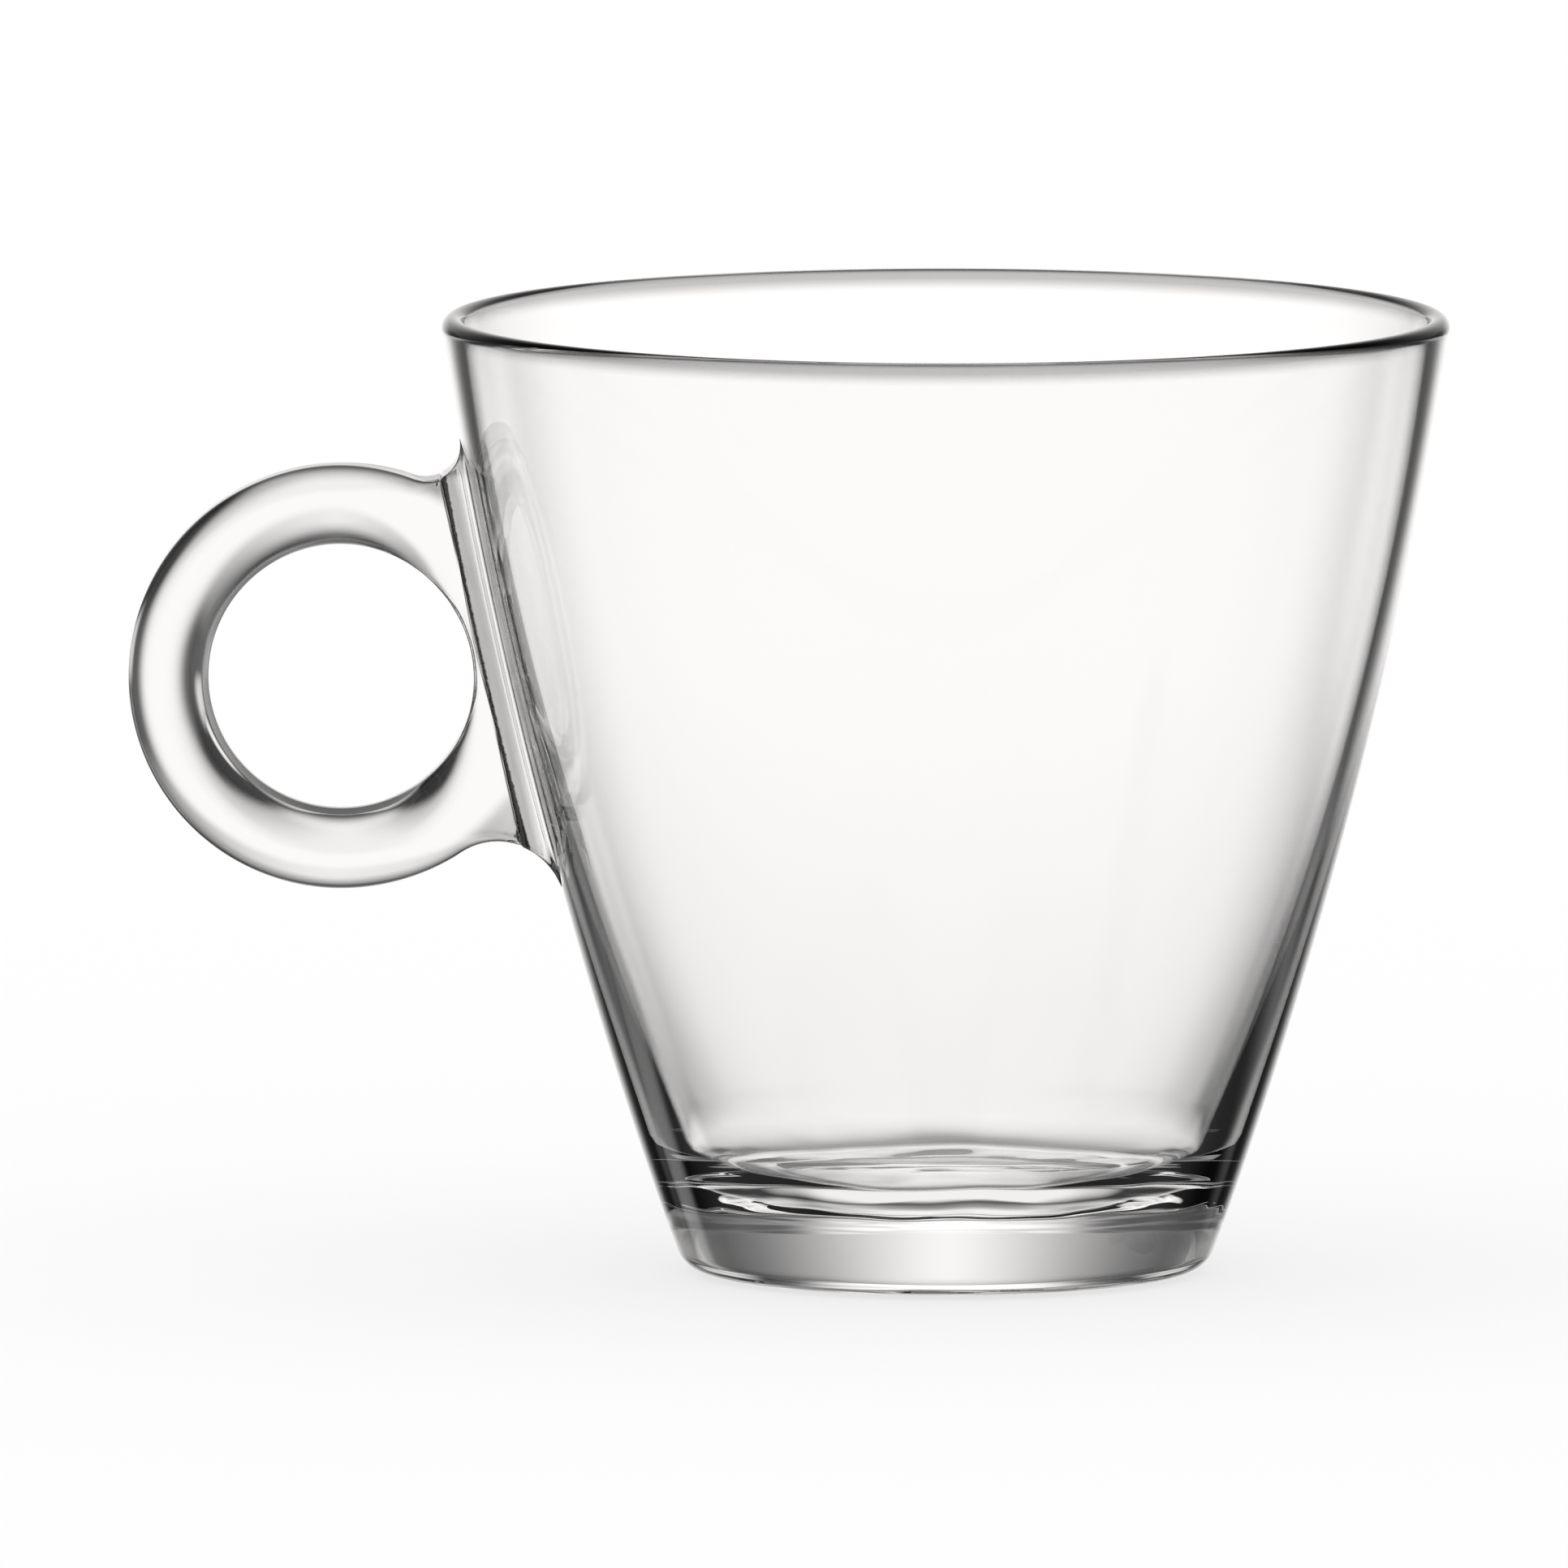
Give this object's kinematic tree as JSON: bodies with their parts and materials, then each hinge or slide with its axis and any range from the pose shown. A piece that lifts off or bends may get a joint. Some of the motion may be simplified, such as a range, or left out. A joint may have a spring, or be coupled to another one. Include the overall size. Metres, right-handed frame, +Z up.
{
  "type": "espresso glass",
  "caption": "Small clear glass cup with a gently bellied conical bowl, a thick base, a rounded lip and a round ring handle fused to the wall.",
  "frame": {"origin": "centre of the foot, on the table under the axis of the cup", "axes": "+Z up along the axis of the cup; the ring handle points to -X and lies in the XZ plane; -Y is the front that the picture shows"},
  "size_m": [0.0841, 0.0642, 0.061],
  "materials": {
    "clear_glass": "clear, fire-polished",
    "weld_glass": "grey, finely streaked"
  },
  "bodies": {
    "root": {"bowl": "clear_glass", "handle_ring": "clear_glass", "handle_weld": "weld_glass"}
  },
  "joints": []
}
